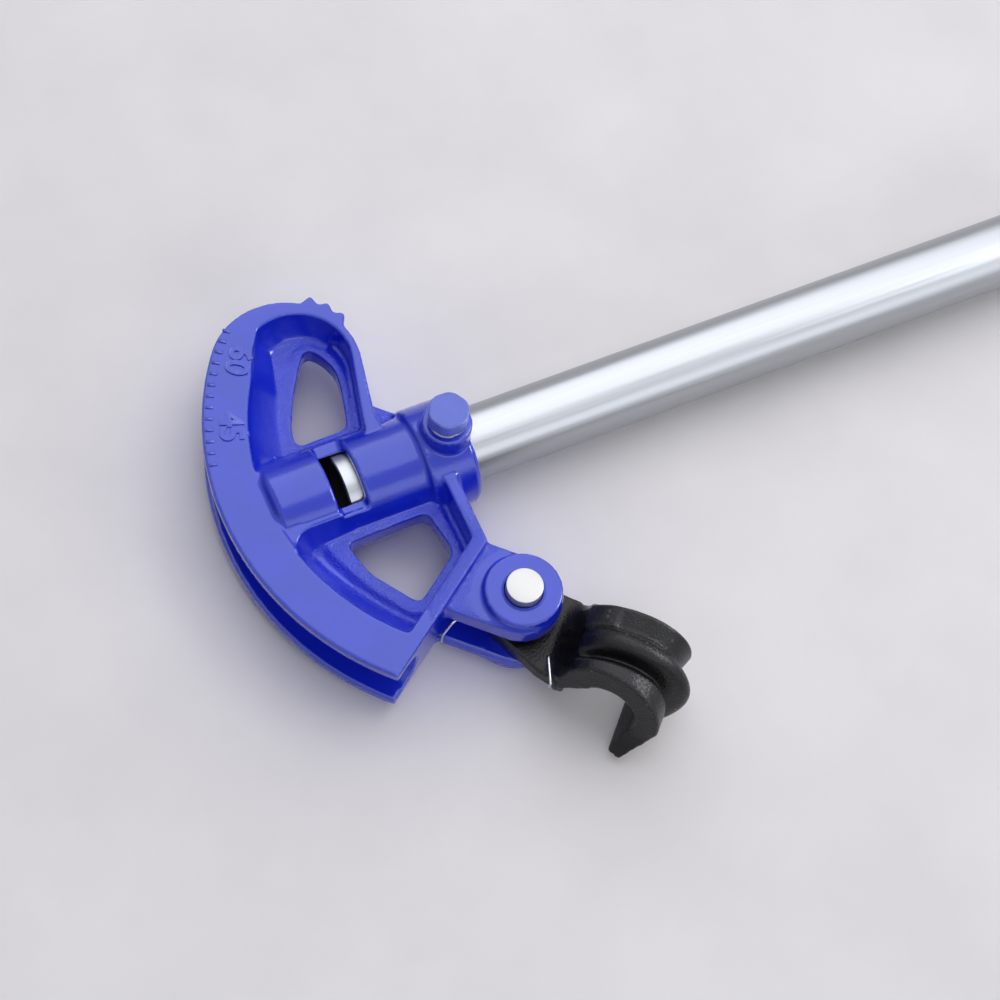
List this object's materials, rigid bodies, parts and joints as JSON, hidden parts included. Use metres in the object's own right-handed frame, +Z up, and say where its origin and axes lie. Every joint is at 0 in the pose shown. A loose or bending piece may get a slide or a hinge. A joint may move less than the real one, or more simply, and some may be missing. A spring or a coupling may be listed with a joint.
{
  "type": "conduit bender",
  "caption": "Hand bender for thin steel conduit: a cast grooved shoe with windows on a long tube handle, with a sprung hook that swings on a pin beside the shoe.",
  "frame": {"origin": "middle of the plan of the whole tool, level with its lowest point, the lower end of the hook pin", "axes": "+X runs along the handle from the shoe to the free end, +Z points up along the hook pin and the clamp bolt with the tool lying flat, +Y points to the toothed foot of the shoe"},
  "size_m": [1.012, 0.1994, 0.0545],
  "materials": {
    "blue_paint": "semi-gloss blue enamel over a fine cast skin",
    "zinc_tube": "bright zinc, drawn along its length",
    "black_plastic": "matte black",
    "bolt_paint": "blue enamel over a hexagon head",
    "washer_steel": "dull zinc",
    "pin_steel": "bright turned steel",
    "spring_steel": "bright drawn wire",
    "black_cast": "satin black coating over a coarse cast skin"
  },
  "bodies": {
    "head": {"bender_head": "blue_paint", "pivot_pin": "pin_steel", "pin_retaining_ring": "spring_steel", "hook_spring": "spring_steel"},
    "handle": {"handle_tube": "zinc_tube", "handle_end_cap": "black_plastic"},
    "washer": {"clamp_lock_washer": "washer_steel"},
    "bolt": {"clamp_bolt": "bolt_paint"},
    "hook": {"hook": "black_cast"}
  },
  "joints": [
    {"name": "handle_slide", "type": "slide", "parent": "head", "child": "handle", "axis": [1, 0, 0], "range_m": [-0.018, 0.035]},
    {"name": "clamp_washer_lift", "type": "slide", "parent": "head", "child": "washer", "axis": [0, 0, 1], "range_m": [0, 0.00282]},
    {"name": "clamp_bolt_turn", "type": "hinge", "parent": "washer", "child": "bolt", "pos_m": [-0.42235, 0.03014, 0.05], "axis": [0, 0, 1], "range_deg": [0, 720]},
    {"name": "hook_swing", "type": "hinge", "parent": "head", "child": "hook", "pos_m": [-0.42116, -0.03392, 0.0202], "axis": [0, 0, 1], "range_deg": [-89, 0], "stiffness_Nm_per_rad": 0.05, "springref_deg": 17.19, "deforming": ["hook_spring"]}
  ],
  "couplings": [
    {"joint": "clamp_bolt_turn", "follows": "clamp_washer_lift", "rad_per_m": 4452.9}
  ]
}
